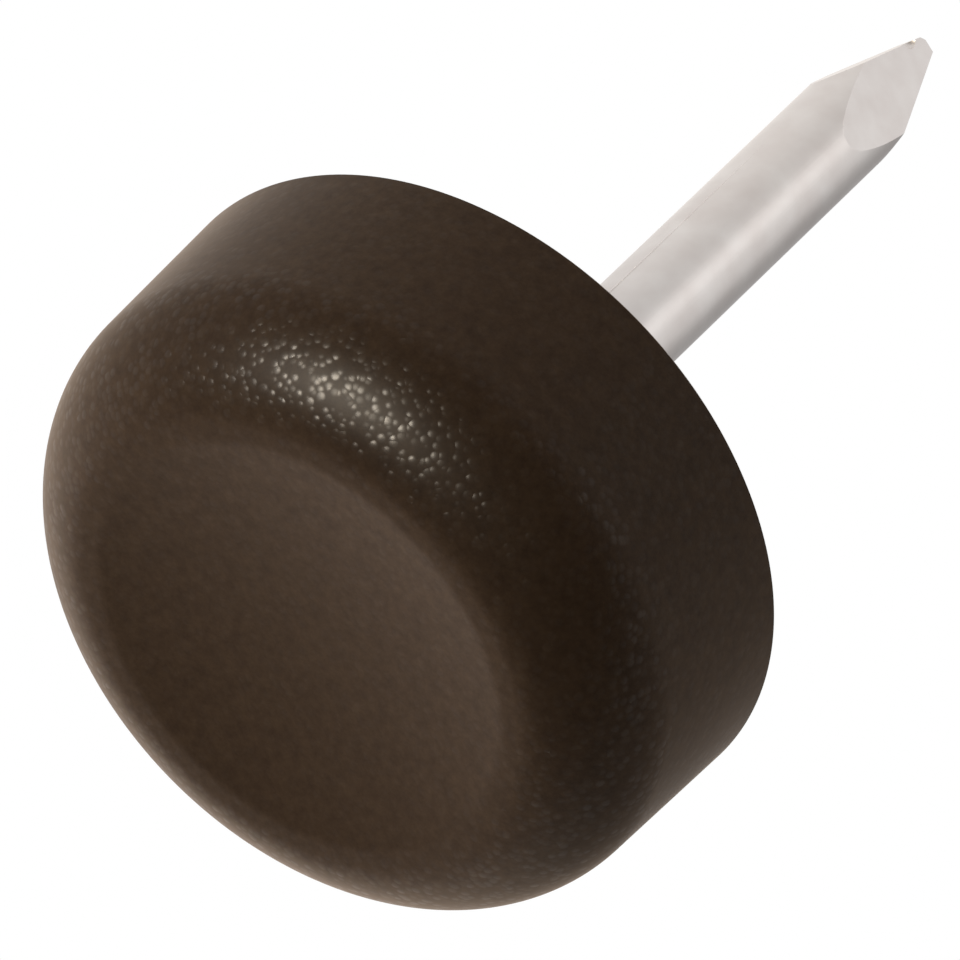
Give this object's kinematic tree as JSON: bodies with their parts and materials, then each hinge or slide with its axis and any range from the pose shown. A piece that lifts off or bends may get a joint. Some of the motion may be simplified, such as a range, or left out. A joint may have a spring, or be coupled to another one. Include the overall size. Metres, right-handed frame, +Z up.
{
  "type": "nail-on furniture glide",
  "caption": "Round brown plastic glide pad with a dished glide face and rounded shoulder, moulded on the head of a steel nail that is driven into the end of a furniture leg.",
  "frame": {"origin": "centre of the ring on which the glide face touches the floor", "axes": "+Z up along the nail, from the glide face through the seat to the point; +X and +Y square to two flats of the point"},
  "size_m": [0.019, 0.019, 0.0303],
  "materials": {
    "brown_plastic": "fine spark-eroded mould texture, satin",
    "drawn_steel": "bright drawn wire, dull"
  },
  "bodies": {
    "root": {"glide_pad": "brown_plastic", "nail": "drawn_steel"}
  },
  "joints": []
}
